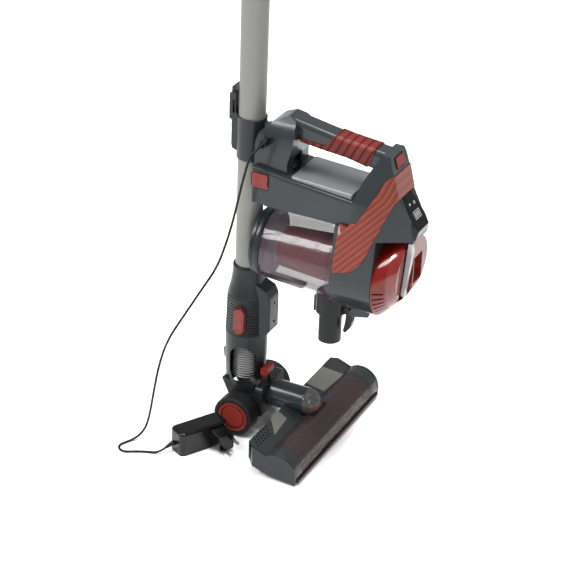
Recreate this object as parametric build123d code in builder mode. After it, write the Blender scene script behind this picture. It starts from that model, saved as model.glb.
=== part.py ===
from build123d import *
import math
import os

os.makedirs("parts", exist_ok=True)

# Cordless stick vacuum, standing upright with its hand unit docked on the wand and its charger plugged in.
# Millimetres. +Z is up, the floor is Z = 0, the floor head and the display face -Y, and X = 0 is the middle.
# "Left" in a name is the -X side.

# ---------------------------------------------------------------- driving dimensions
TUBE_Y = 108.0                     # the wand's axis
TUBE_R, TUBE_BORE = 17.5, 16.3
TUBE_LOW, TUBE_HIGH = 150.0, 780.0
COLLAR_R, COLLAR_LOW, COLLAR_HIGH = 19.5, 387.0, 445.0
SOCKET_BORE, SOCKET_DEPTH, SOCKET_TOP = 15.4, 45.0, 825.0
RUN = 0.06                         # radial clearance of a running fit
GAP = 0.4                          # clearance round a part that moves in a pocket

AXLE_Y, AXLE_Z, AXLE_R = 96.0, 28.0, 4.0
WHEEL_R, TYRE_BORE, WHEEL_IN, WHEEL_OUT = 28.0, 21.5, 36.0, 60.0
BOSS_R, EAR_IN, EAR_OUT = 17.5, 19.5, 25.0
CHEEK_IN, CHEEK_OUT = 25.6, 33.0

ARM_Z, ARM_R, ARM_BORE = 46.0, 19.0, 16.5
ARM_FRONT, ARM_REAR = 14.0, 66.0

HEAD_HALF, HEAD_INNER, WINDOW_HALF = 130.0, 126.0, 108.0
ARCH_Y, ARCH_Z, ARCH_R, WALL = -7.0, 13.0, 27.0, 2.5
BRUSH_Y, BRUSH_Z, BRUSH_R, BRUSH_CORE = -8.5, 14.5, 13.8, 8.0
BRUSH_PULLEY_R, MOTOR_PULLEY_R = 6.0, 3.0
HEAD_MOTOR_Y, HEAD_MOTOR_Z, HEAD_MOTOR_R = 24.2, 26.5, 9.0

UNIT_FRONT = 88.0                  # front face of the hand unit, just clear of the wand's collar
DRUM_Z, DRUM_R, DRUM_FRONT, DRUM_REAR = 270.0, 54.5, -34.0, -90.0
BOX_HALF, BOX_LOW = 41.0, 345.0
CUP_Z, CUP_REAR_R, CUP_FRONT_R, CUP_FRONT, LID_FRONT = 272.0, 50.0, 45.0, 81.0, 87.0
INLET_Y, INLET_R, INLET_BORE, INLET_LOW = -14.0, 15.2, 13.0, 152.7
HANDLE_HALF = 15.0

CORD_R = 1.6
ADAPTER_AT, ADAPTER_ANGLE = (-102.0, 123.0), -29.4
ADAPTER_LENGTH, ADAPTER_DEPTH, ADAPTER_HEIGHT = 73.0, 30.0, 34.0

SIDES = (("left", -1), ("right", 1))


def save(piece, name):
    """Label a finished piece and write its STEP file."""
    piece.part.label = name
    export_step(piece.part, f"parts/{name}.step")


def across(x):
    """A YZ plane at X = x: sketch x is Y, sketch y is Z, and extruding goes towards +X."""
    return Plane.YZ.offset(x)


def along(y):
    """An XZ plane at Y = y: sketch x is X, sketch y is Z, and extruding goes towards -Y."""
    return Plane.XZ.offset(-y)


def tube_plane(z):
    """A level plane centred on the wand's axis."""
    return Plane((0, TUBE_Y, z))


# ================================================================ wand
with BuildPart() as wand_tube:
    with BuildSketch(tube_plane(TUBE_LOW)):
        Circle(TUBE_R)
        Circle(TUBE_BORE, mode=Mode.SUBTRACT)
    extrude(amount=TUBE_HIGH - TUBE_LOW)
save(wand_tube, "wand_tube")

RAIL_LOW, RAIL_HIGH = 395.0, 440.0
with BuildPart() as dock_collar:
    with BuildSketch(tube_plane(COLLAR_LOW)):
        Circle(COLLAR_R)
    extrude(amount=COLLAR_HIGH - COLLAR_LOW)
    with BuildSketch(Plane.XY.offset(RAIL_LOW)):
        with Locations((0, 87.5)):
            Rectangle(7, 6)
        with Locations((0, 82.8)):
            Rectangle(12, 3.6)
    extrude(amount=RAIL_HIGH - RAIL_LOW)
    with BuildSketch(tube_plane(COLLAR_LOW)):
        Circle(TUBE_R)
    extrude(amount=COLLAR_HIGH - COLLAR_LOW, mode=Mode.SUBTRACT)
save(dock_collar, "dock_collar")

CLIP_REAR = 136.5
with BuildPart() as accessory_clip:
    with BuildSketch(across(-9)):
        Polygon((124, 394), (131.5, 397), (133, 402), (133, 436), (CLIP_REAR, 438), (CLIP_REAR, 472),
                (133.5, 474), (133, 482), (130.5, 482), (130, 474), (127.5, 472), (127.5, 447),
                (124, 445), align=None)
    extrude(amount=18)
    with BuildSketch(tube_plane(380)):
        Circle(COLLAR_R)
    extrude(amount=110, mode=Mode.SUBTRACT)
    with BuildSketch(across(-12)):
        with Locations((130.5, 455)):
            Rectangle(3, 18)
    extrude(amount=24, mode=Mode.SUBTRACT)
save(accessory_clip, "accessory_clip")

with BuildPart() as wand_socket:
    with BuildSketch(tube_plane(SOCKET_TOP - SOCKET_DEPTH - 30)):
        Circle(20.5)
    extrude(amount=SOCKET_DEPTH + 30)
    chamfer(wand_socket.edges().filter_by(GeomType.CIRCLE), 1.2)
    with BuildSketch(tube_plane(TUBE_HIGH - 60)):
        Circle(TUBE_R)
    extrude(amount=60, mode=Mode.SUBTRACT)
    with BuildSketch(tube_plane(TUBE_HIGH - 1)):
        Circle(SOCKET_BORE)
    extrude(amount=60, mode=Mode.SUBTRACT)
save(wand_socket, "wand_socket")

# ================================================================ neck
NECK_TOP, NECK_LOW = 231.0, 46.0
HOSE_R, HOSE_BORE, HOSE_TOP = 16.3, 14.3, 120.0
RIB_LOW, RIB_PITCH, RIB_COUNT, RIB_DEPTH = 132.0, 4.4, 13, 0.9


def neck_outline():
    """Radius against height of the neck, with the ribbed grip zone."""
    points = [(0, NECK_LOW), (22, NECK_LOW), (26.5, 60), (28, 90), (28.4, RIB_LOW)]
    for rib in range(RIB_COUNT):
        z = RIB_LOW + rib * RIB_PITCH
        radius = 28.4 - 1.4 * rib / RIB_COUNT
        points += [(radius, z + 2.2), (radius - RIB_DEPTH, z + 2.6), (radius - RIB_DEPTH, z + 4.0)]
    return points + [(26.8, RIB_LOW + RIB_COUNT * RIB_PITCH), (22.5, 207), (20.5, 224), (20.5, NECK_TOP), (0, NECK_TOP)]


NECK_AXIS = Axis((0, TUBE_Y, 0), (0, 0, 1))
NECK_SECTION = Plane((0, TUBE_Y, 0), x_dir=(1, 0, 0), z_dir=(0, -1, 0))
BUTTON_Y, BUTTON_Z, BUTTON_W, BUTTON_H = 105.0, 158.0, 16.0, 39.0

with BuildPart() as neck_body:
    with BuildSketch(NECK_SECTION):
        Polygon(*neck_outline(), align=None)
    revolve(axis=NECK_AXIS)
    with BuildSketch(across(-EAR_OUT)):
        with Locations((AXLE_Y, AXLE_Z)):
            Circle(BOSS_R)
        Polygon((AXLE_Y - 16, 34), (AXLE_Y - 14, 62), (131, 62), (111, 20), align=None)
    extrude(amount=2 * EAR_OUT)
    with BuildSketch(across(-EAR_IN)):
        with Locations((AXLE_Y, AXLE_Z)):
            Circle(BOSS_R - WALL)
        Polygon((AXLE_Y - 30, 22), (AXLE_Y - 30, 66), (126.5, 66), (108, 20), align=None)
    extrude(amount=2 * EAR_IN, mode=Mode.SUBTRACT)
    with BuildSketch(tube_plane(44)):
        Circle(20)
    extrude(amount=16, mode=Mode.SUBTRACT)
    with BuildSketch(tube_plane(60)):
        Circle(24.5)
    extrude(amount=60, mode=Mode.SUBTRACT)
    with BuildSketch(tube_plane(119)):
        Circle(HOSE_R)
    extrude(amount=TUBE_LOW - 119, mode=Mode.SUBTRACT)
    with BuildSketch(tube_plane(TUBE_LOW)):
        Circle(TUBE_R + RUN)
    extrude(amount=100, mode=Mode.SUBTRACT)
    with BuildSketch(across(-40)):
        with Locations((102, 100)):
            Circle(17.2)
        Polygon((84.8, 100), (85, 65), (112.5, 63), (119.2, 76), (119.2, 100), align=None)
    extrude(amount=80, mode=Mode.SUBTRACT)
    with BuildSketch(across(-40)):
        with Locations((BUTTON_Y, BUTTON_Z)):
            SlotOverall(BUTTON_H + 2 * GAP, BUTTON_W + 2 * GAP, rotation=90)
    extrude(amount=18.4, mode=Mode.SUBTRACT)
    with BuildSketch(across(-30)):
        with Locations((AXLE_Y, AXLE_Z)):
            Circle(AXLE_R + RUN)
    extrude(amount=60, mode=Mode.SUBTRACT)
    with BuildSketch(across(-4)):
        Polygon((132, 80), (139, 82), (140, 96), (137.5, 97), (136, 88), (132, 88), align=None)
    extrude(amount=8)

for side, sign in SIDES:
    with BuildPart() as neck_shell:
        add(neck_body.part)
        with Locations((sign * 50, TUBE_Y, 150)):
            Box(100, 200, 400, mode=Mode.INTERSECT)
    save(neck_shell, f"neck_shell_{side}")

with BuildPart() as neck_hose:
    with BuildLine() as hose_path:
        FilletPolyline((0, 67, ARM_Z), (0, TUBE_Y, ARM_Z), (0, TUBE_Y, HOSE_TOP), radius=30)
    with BuildSketch(along(67)):
        with Locations((0, ARM_Z)):
            Circle(HOSE_R)
            Circle(HOSE_BORE, mode=Mode.SUBTRACT)
    sweep(path=hose_path.line)
save(neck_hose, "neck_hose")

BLOCK_FRONT, BLOCK_LOW, BLOCK_HIGH, BLOCK_HALF = 68.0, 139.0, 203.0, 14.0
with BuildPart() as connector_block:
    with BuildSketch(across(-BLOCK_HALF)):
        Polygon((100, BLOCK_LOW - 8), (BLOCK_FRONT + 4, BLOCK_LOW), (BLOCK_FRONT, BLOCK_LOW + 5),
                (BLOCK_FRONT, BLOCK_HIGH - 12), (BLOCK_FRONT + 6, BLOCK_HIGH), (100, BLOCK_HIGH + 12), align=None)
    extrude(amount=2 * BLOCK_HALF)
    chamfer(connector_block.edges().filter_by(Axis.Z), 2)
    with BuildSketch(NECK_SECTION):
        Polygon((0, 0), (28.5, 0), (28.5, RIB_LOW + 10), (27.2, RIB_LOW + 57.4), (22.6, 207.3), (20.6, 224.2), (20.6, 260),
                (0, 260), align=None)
    revolve(axis=NECK_AXIS, mode=Mode.SUBTRACT)
    with BuildSketch(along(BLOCK_FRONT - 5)):
        with Locations((0, BLOCK_LOW + 16), (0, BLOCK_HIGH - 20)):
            Circle(2.2)
    extrude(amount=-14, mode=Mode.SUBTRACT)
save(connector_block, "connector_block")

with BuildPart() as tube_release:
    with BuildSketch(across(-31.3)):
        with Locations((BUTTON_Y, BUTTON_Z)):
            SlotOverall(BUTTON_H, BUTTON_W, rotation=90)
    extrude(amount=6.6)
    fillet(tube_release.faces().sort_by(Axis.X)[0].edges(), 2)
save(tube_release, "tube_release")

# ================================================================ yoke, swivel arm and wheels
YOKE_FRONT, YOKE_REAR = 66.0, 77.0
with BuildPart() as yoke_frame:
    with BuildSketch(across(CHEEK_IN)):
        with Locations((AXLE_Y, AXLE_Z)):
            Circle(16)
        Polygon((YOKE_FRONT, 24), (YOKE_FRONT, 60), (AXLE_Y, 44), (AXLE_Y, 12), align=None)
    extrude(amount=CHEEK_OUT - CHEEK_IN)
    mirror(about=Plane.YZ)
    with BuildSketch(along(YOKE_REAR)):
        with Locations((0, 45)):
            RectangleRounded(2 * CHEEK_OUT, 42, 6)
    extrude(amount=YOKE_REAR - YOKE_FRONT)
    with BuildSketch(along(YOKE_REAR + 1)):
        with Locations((0, ARM_Z)):
            Circle(ARM_BORE)
    extrude(amount=20, mode=Mode.SUBTRACT)
    with BuildSketch(across(-40)):
        with Locations((AXLE_Y, AXLE_Z)):
            Circle(AXLE_R)
    extrude(amount=80, mode=Mode.SUBTRACT)
    for x in (-14.6, -4.6):
        with BuildSketch(across(x)):
            Polygon((68, 64.5), (69, 75), (71, 77.5), (75, 77.5), (77, 75), (77, 64.5), align=None)
            with Locations((73, 74)):
                Circle(1.5, mode=Mode.SUBTRACT)
        extrude(amount=2.4)
save(yoke_frame, "yoke_frame")

with BuildPart() as swivel_barrel:
    with BuildSketch(along(ARM_REAR)):
        with Locations((0, ARM_Z)):
            Circle(ARM_R)
            Circle(ARM_BORE, mode=Mode.SUBTRACT)
    extrude(amount=ARM_REAR - ARM_FRONT)
save(swivel_barrel, "swivel_barrel")

with BuildPart() as barrel_lens:
    with Locations((0, ARM_FRONT, ARM_Z)):
        Sphere(ARM_R)
        Sphere(ARM_R - WALL, mode=Mode.SUBTRACT)
    with Locations((0, ARM_FRONT + 50, ARM_Z)):
        Box(100, 100, 100, mode=Mode.SUBTRACT)
save(barrel_lens, "barrel_lens")

with BuildPart() as wheel_axles:
    with BuildSketch(across(EAR_IN + 0.5)):
        with Locations((AXLE_Y, AXLE_Z)):
            Circle(AXLE_R)
    extrude(amount=WHEEL_OUT - EAR_IN - 3.5)
    mirror(about=Plane.YZ)
save(wheel_axles, "wheel_axles")

for side, sign in SIDES:
    inner, outer = sign * WHEEL_IN, sign * WHEEL_OUT
    with BuildPart() as tyre:
        with BuildSketch(across(inner)):
            with Locations((AXLE_Y, AXLE_Z)):
                Circle(WHEEL_R)
                Circle(TYRE_BORE, mode=Mode.SUBTRACT)
        extrude(amount=outer - inner)
        fillet(tyre.edges().filter_by(lambda e: abs(e.radius - WHEEL_R) < 0.1 if e.geom_type == GeomType.CIRCLE
                                      else False), 3)
    save(tyre, f"tyre_{side}")
    with BuildPart() as hub:
        with BuildSketch(across(inner + sign * 1.5)):
            with Locations((AXLE_Y, AXLE_Z)):
                Circle(TYRE_BORE)
        extrude(amount=outer - inner - sign * 2.5)
        with BuildSketch(across(outer - sign * 3)):
            with Locations((AXLE_Y, AXLE_Z)):
                Circle(17.5)
                Circle(15.5, mode=Mode.SUBTRACT)
        extrude(amount=sign * 5, mode=Mode.SUBTRACT)
        with BuildSketch(across(0)):
            with Locations((AXLE_Y, AXLE_Z)):
                Circle(AXLE_R + RUN)
        extrude(amount=outer - sign * 2.8, mode=Mode.SUBTRACT)
    save(hub, f"hub_{side}")

PEDAL_Y, PEDAL_Z = 73.0, 74.0
with BuildPart() as lock_pedal:
    with BuildSketch(across(-18)):
        Polygon((67.5, 78.4), (65, 85), (67, 89.5), (71, 91), (76, 89), (77, 83), (76.5, 78.4), align=None)
    extrude(amount=19)
    fillet(lock_pedal.edges().filter_by(Axis.X).group_by(Axis.Z)[-1], 1)
    with BuildSketch(across(-11.6)):
        Polygon((70.6, 72.5), (70.6, 80), (75.4, 80), (75.4, 72.5), align=None)
    extrude(amount=6.4)
    with BuildSketch(across(-14.4)):
        with Locations((PEDAL_Y, PEDAL_Z)):
            Circle(1.5 - RUN)
    extrude(amount=12.0)
save(lock_pedal, "lock_pedal")

# ================================================================ floor head
ARCH_END = (9.4, 34.5)


def arch_arc(radius):
    """A point on the roof of the brush chamber, halfway round, at this radius."""
    return (ARCH_Y + radius * math.cos(math.radians(110)), ARCH_Z + radius * math.sin(math.radians(110)))


COWL_FRONT, COWL_REAR, COWL_TOP, COWL_R = -6.4, 12.4, 41.0, 20.3
with BuildPart() as lens_cowl:
    with BuildSketch(along(COWL_REAR)):
        with Locations((0, ARM_Z)):
            Circle(COWL_R)
        with Locations((0, COWL_TOP - 30)):
            Rectangle(80, 60, mode=Mode.INTERSECT)
    extrude(amount=COWL_REAR - COWL_FRONT)
    with Locations((0, ARM_FRONT, ARM_Z)):
        Sphere(ARM_R + 3.3, mode=Mode.INTERSECT)
        Sphere(ARM_R + 0.3, mode=Mode.SUBTRACT)

with BuildPart() as head_base:
    with BuildSketch(across(-HEAD_INNER)):
        Polygon((-33.5, 3), (-33.5, 9), (-31, 9), (-31, 5.7), (9.5, 9.6), (37.5, 19.4), (37.5, 22), (40, 22), (40, 17),
                (9.5, 7), align=None)
        Polygon((10.5, 8), (10.5, 31), (12.5, 31), (12.5, 9), align=None)
    extrude(amount=2 * HEAD_INNER)
    for sign in (-1, 1):
        with BuildSketch(across(sign * HEAD_INNER)):
            with BuildLine():
                Polyline((-34, 13), (-33.5, 3), (9.5, 7), (34, 15), (34, 43.5), ARCH_END)
                ThreePointArc(ARCH_END, arch_arc(ARCH_R), (-34, 13))
            make_face()
        extrude(amount=sign * (HEAD_HALF - HEAD_INNER))
        with BuildSketch(across(sign * (WINDOW_HALF + 1))):
            with Locations((ARCH_Y, ARCH_Z)):
                Circle(ARCH_R - WALL - 0.3)
            with Locations((-10, 19.5)):
                Rectangle(42, 28, mode=Mode.INTERSECT)
        extrude(amount=sign * 3)
        with BuildSketch(across(sign * (WINDOW_HALF - 1))):
            with Locations((BRUSH_Y, BRUSH_Z)):
                Circle(5.0)
        extrude(amount=sign * 8, mode=Mode.SUBTRACT)
    with BuildSketch(across(-122.5)):
        with Locations((BRUSH_Y, BRUSH_Z)):
            Circle(BRUSH_PULLEY_R + 1.6)
        with Locations((HEAD_MOTOR_Y, HEAD_MOTOR_Z)):
            Circle(MOTOR_PULLEY_R + 1.6)
        make_hull()
    extrude(amount=9.5, mode=Mode.SUBTRACT)
    with BuildSketch(Plane.XY.offset(-1)):
        with Locations((0, -7.5)):
            RectangleRounded(2 * WINDOW_HALF - 4, 29, 3)
    extrude(amount=16, mode=Mode.SUBTRACT)
    with BuildSketch(Plane.XY.offset(4)):
        with Locations((-80, 22), (80, 22)):
            Rectangle(17, 17)
    extrude(amount=14, mode=Mode.SUBTRACT)
    for x in (-80, 80):
        for bracket in (-11.0, 8.5):
            with BuildSketch(across(x + bracket)):
                Polygon((18, 4), (26, 4), (28, 13), (16, 13), align=None)
            extrude(amount=2.5)
        with BuildSketch(across(x - 9)):
            with Locations((22, 7)):
                Circle(2.0)
        extrude(amount=18)
    with BuildSketch(across(-95)):
        Polygon((17, 11), (31, 16), (31, 24), (17, 24), align=None)
        with Locations((HEAD_MOTOR_Y, HEAD_MOTOR_Z)):
            Circle(HEAD_MOTOR_R, mode=Mode.SUBTRACT)
    extrude(amount=4)
    with BuildSketch(along(38)):
        with Locations((0, ARM_Z)):
            Circle(21.5)
            Circle(ARM_R + RUN, mode=Mode.SUBTRACT)
        with Locations((0, 34)):
            Rectangle(60, 24, mode=Mode.INTERSECT)
    extrude(amount=24)
    with BuildSketch(along(40)):
        with Locations((0, ARM_Z)):
            Circle(ARM_R + RUN)
    extrude(amount=60, mode=Mode.SUBTRACT)
    for sign in (-1, 1):
        with BuildSketch(Plane.XY.offset(-1)):
            Polygon((sign * 118, 41), (sign * 131, 41), (sign * 131, 28), align=None)
        extrude(amount=60, mode=Mode.SUBTRACT)
    add(lens_cowl.part)
save(head_base, "head_base")

with BuildPart() as head_cover:
    with BuildSketch(across(-HEAD_INNER)):
        Polygon((10, 34.1), (37.5, 45), (40, 42), (40, 22), (37.5, 22), (37.5, 41), (36.5, 41.8), (12.5, 32.2),
                (10, 31.2), align=None)
    extrude(amount=2 * HEAD_INNER)
    with BuildSketch(along(50)):
        with Locations((0, ARM_Z)):
            Circle(21.6)
    extrude(amount=60, mode=Mode.SUBTRACT)
    with BuildSketch(Plane.XY.offset(25)):
        for column in range(6):
            for row in range(3):
                with Locations((-119 + 6.4 * column + 3.2 * row, 25.5 + 4.6 * row)):
                    RegularPolygon(1.8, 6)
    extrude(amount=30, mode=Mode.SUBTRACT)
    for sign in (-1, 1):
        with BuildSketch(Plane.XY.offset(15)):
            Polygon((sign * 118, 41), (sign * 131, 41), (sign * 131, 28), align=None)
        extrude(amount=60, mode=Mode.SUBTRACT)
save(head_cover, "head_cover")


def chamber_roof(x_low, x_high):
    """The arched skin over the brush, between two X positions."""
    with BuildPart() as roof:
        with BuildSketch(across(x_low)):
            with BuildLine():
                Line((-34, 13), (-33.5, 9))
                Line((-33.5, 9), (-31, 9))
                Line((-31, 9), (ARCH_Y - ARCH_R + WALL, 13))
                ThreePointArc((ARCH_Y - ARCH_R + WALL, 13), arch_arc(ARCH_R - WALL), (8.4, 31.95))
                Line((8.4, 31.95), ARCH_END)
                ThreePointArc(ARCH_END, arch_arc(ARCH_R), (-34, 13))
            make_face()
        extrude(amount=x_high - x_low)
    return roof.part


with BuildPart() as brush_window:
    add(chamber_roof(-WINDOW_HALF, WINDOW_HALF))
    with BuildSketch(along(50)):
        with Locations((0, ARM_Z)):
            Circle(20.4)
    extrude(amount=56.5, mode=Mode.SUBTRACT)
save(brush_window, "brush_window")

with BuildPart() as end_caps:
    add(chamber_roof(WINDOW_HALF, HEAD_INNER))
    add(chamber_roof(-HEAD_INNER, -WINDOW_HALF))
save(end_caps, "end_caps")

with BuildPart() as bumper_strip:
    with BuildSketch(across(-124)):
        Polygon((-33.5, 3.4), (-36, 4), (-36.4, 6), (-36, 8), (-33.5, 8.6), align=None)
    extrude(amount=248)
save(bumper_strip, "bumper_strip")

with BuildPart() as sole_glides:
    with BuildSketch(across(106)):
        Polygon((-30, 0), (-24, 0), (-24, 3.87), (-30, 3.32), align=None)
    extrude(amount=16)
    mirror(about=Plane.YZ)
save(sole_glides, "sole_glides")

with BuildPart() as sole_rollers:
    for x in (-87, 73):
        with BuildSketch(across(x)):
            with Locations((22, 7)):
                Circle(7)
                Circle(2.0 + RUN, mode=Mode.SUBTRACT)
        extrude(amount=14)
save(sole_rollers, "sole_rollers")

with BuildPart() as head_motor:
    with BuildSketch(across(-100)):
        with Locations((HEAD_MOTOR_Y, HEAD_MOTOR_Z)):
            Circle(HEAD_MOTOR_R)
    extrude(amount=52)
    with BuildSketch(across(-105)):
        with Locations((HEAD_MOTOR_Y, HEAD_MOTOR_Z)):
            Circle(4)
    extrude(amount=5)
    with BuildSketch(across(-106)):
        with Locations((HEAD_MOTOR_Y, HEAD_MOTOR_Z)):
            Circle(1.5 + RUN)
    extrude(amount=16, mode=Mode.SUBTRACT)
save(head_motor, "head_motor")

with BuildPart() as motor_pulley:
    with BuildSketch(across(-122)):
        with Locations((HEAD_MOTOR_Y, HEAD_MOTOR_Z)):
            Circle(MOTOR_PULLEY_R)
    extrude(amount=8)
    with BuildSketch(across(-122)):
        with Locations((HEAD_MOTOR_Y, HEAD_MOTOR_Z)):
            Circle(1.5)
    extrude(amount=30)
save(motor_pulley, "motor_pulley")

BELT_GAP, BELT_THICK = 0.08, 1.0
with BuildPart() as drive_belt:
    for grow, mode in ((BELT_GAP + BELT_THICK, Mode.ADD), (BELT_GAP, Mode.SUBTRACT)):
        with BuildSketch(across(-121)):
            with Locations((BRUSH_Y, BRUSH_Z)):
                Circle(BRUSH_PULLEY_R + grow)
            with Locations((HEAD_MOTOR_Y, HEAD_MOTOR_Z)):
                Circle(MOTOR_PULLEY_R + grow)
            make_hull()
        extrude(amount=6, mode=mode)
save(drive_belt, "drive_belt")

with BuildPart() as brush_core:
    with BuildSketch(across(-104)):
        with Locations((BRUSH_Y, BRUSH_Z)):
            Circle(BRUSH_CORE)
    extrude(amount=208)
    with BuildSketch(across(-122)):
        with Locations((BRUSH_Y, BRUSH_Z)):
            Circle(3.0)
    extrude(amount=240)
    with BuildSketch(across(-122)):
        with Locations((BRUSH_Y, BRUSH_Z)):
            Circle(BRUSH_PULLEY_R)
    extrude(amount=8)
save(brush_core, "brush_core")

with BuildPart() as brush_bristles:
    with BuildSketch(across(-102)):
        with Locations((BRUSH_Y, BRUSH_Z)):
            with PolarLocations(0, 6):
                with Locations((BRUSH_R - 3.6, 0)):
                    Rectangle(7.2, 2.4)
        with Locations((BRUSH_Y, BRUSH_Z)):
            Circle(BRUSH_CORE, mode=Mode.SUBTRACT)
    extrude(amount=204)
save(brush_bristles, "brush_bristles")

with BuildPart() as brush_bearings:
    with BuildSketch(across(WINDOW_HALF + 1)):
        with Locations((BRUSH_Y, BRUSH_Z)):
            Circle(5.0)
            Circle(3.0 + RUN, mode=Mode.SUBTRACT)
    extrude(amount=3)
    mirror(about=Plane.YZ)
save(brush_bearings, "brush_bearings")

# ================================================================ hand unit: body shells
REAR_OUTLINE = [(-34, 200), (-90, 200), (-90, 334), (-131, 334), (-134, 348), (-108, 390), (-101, 418), (-93.5, 442),
                (-82, 442), (-62, 404), (-54, 380), (-54, BOX_LOW), (-34, BOX_LOW)]
BOX_OUTLINE = [(88, 346), (88, 395), (36, 388), (-60, 378.5), (-60, 343)]
HANDLE_OUTLINE = [(50, 461), (-31, 447), (-84, 442), (-84, 414), (-64, 417), (-31, 424), (4, 427), (36, 431)]
DOME_OUTLINE = [(88, 390), (88, 424), (84, 438), (72, 450), (50, 462), (38, 457), (35, 443), (36, 427), (42, 404),
                (42, 388)]
CORNER = Plane((-54.5, DRUM_REAR, DRUM_Z), x_dir=(0.5, -0.58, 0), z_dir=(-0.849, -0.5095, 0.1406))


def grown(points, amount):
    """The corners of a polygon with every side moved outwards by amount."""
    area = sum(a[0] * b[1] - b[0] * a[1] for a, b in zip(points, points[1:] + points[:1]))
    turn = 1 if area > 0 else -1
    corners = []
    for before, here, after in zip(points[-1:] + points[:-1], points, points[1:] + points[:1]):
        sides = []
        for start, end in ((before, here), (here, after)):
            length = math.dist(start, end)
            normal = (turn * (end[1] - start[1]) / length, turn * (start[0] - end[0]) / length)
            sides.append((normal, normal[0] * start[0] + normal[1] * start[1] + amount))
        (n1, d1), (n2, d2) = sides
        det = n1[0] * n2[1] - n2[0] * n1[1]
        corners.append(((d1 * n2[1] - d2 * n1[1]) / det, (n1[0] * d2 - n2[0] * d1) / det))
    return corners


def mirrored(sign, plane):
    """The corner-cutting plane, on the -X side or mirrored to the +X side."""
    if sign < 0:
        return plane
    x, y, z = plane.origin
    return Plane((-x, y, z), x_dir=(-plane.x_dir.X, plane.x_dir.Y, plane.x_dir.Z),
                 z_dir=(-plane.z_dir.X, plane.z_dir.Y, plane.z_dir.Z))


def rear_housing(grow):
    """The drum and the display tower behind it, with every face moved out by grow."""
    with BuildPart() as housing:
        with BuildSketch(along(-20)):
            with Locations((0, DRUM_Z)):
                Circle(DRUM_R + grow)
            with Locations((0, 360)):
                Rectangle(2 * (BOX_HALF + grow), 36)
            with Locations((0, 444 + grow)):
                Rectangle(38 + 2 * grow, 6)
            make_hull()
        extrude(amount=130)
        with BuildSketch(across(-70)):
            Polygon(*grown(REAR_OUTLINE, grow), align=None)
        extrude(amount=140, mode=Mode.INTERSECT)
        for sign in (-1, 1):
            with BuildSketch(mirrored(sign, CORNER).offset(grow)):
                Rectangle(500, 500)
            extrude(amount=100, mode=Mode.SUBTRACT)
    return housing.part


def handle_bar(grow):
    """The bar of the handle, with every face moved out by grow."""
    with BuildPart() as bar:
        with BuildSketch(across(-HANDLE_HALF - grow)):
            Polygon(*grown(HANDLE_OUTLINE, grow), align=None)
        extrude(amount=2 * (HANDLE_HALF + grow))
        fillet(bar.edges().filter_by(lambda e: abs(e.center().Y) < 80 and abs(abs(e.center().X) - HANDLE_HALF - grow) < 0.01
                                     and abs(e.length) > 25), 7)
    return bar.part


def dome(grow):
    """The rounded post at the front, which holds the charging jack."""
    with BuildPart() as post:
        with BuildSketch(across(-50)):
            Polygon(*grown(DOME_OUTLINE, grow), align=None)
        extrude(amount=100)
        with BuildSketch(along(100)):
            with Locations((0, 398)):
                Rectangle(2 * (31 + grow), 40 + grow)
            with Locations((0, 430)):
                Ellipse(29 + grow, 33 + grow)
            with Locations((0, 451)):
                Rectangle(24 + 2 * grow, 22 + 2 * grow)
            make_hull()
        extrude(amount=80, mode=Mode.INTERSECT)
    return post.part


def box_body(grow):
    """The long box over the dust cup."""
    with BuildPart() as box:
        with BuildSketch(across(-BOX_HALF - grow)):
            Polygon(*grown(BOX_OUTLINE, grow), align=None)
        extrude(amount=2 * (BOX_HALF + grow))
        if grow == 0:
            fillet(box.edges().filter_by(lambda e: abs(e.length) > 90 and e.center().Z > 370), 4)
            fillet(box.edges().filter_by(Axis.Z).group_by(Axis.Y)[-1], 4)
    return box.part


SHELL = 2.6
POWER_AT, POWER_TILT = (-96.94, 431.0), 17.35
POWER_PLANE = Plane((0, *POWER_AT), x_dir=(1, 0, 0),
                    z_dir=(0, -math.cos(math.radians(POWER_TILT)), math.sin(math.radians(POWER_TILT))))
RELEASE_Y, RELEASE_Z = 74.0, 378.0
JACK_Y, JACK_Z = 70.0, 430.0

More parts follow.
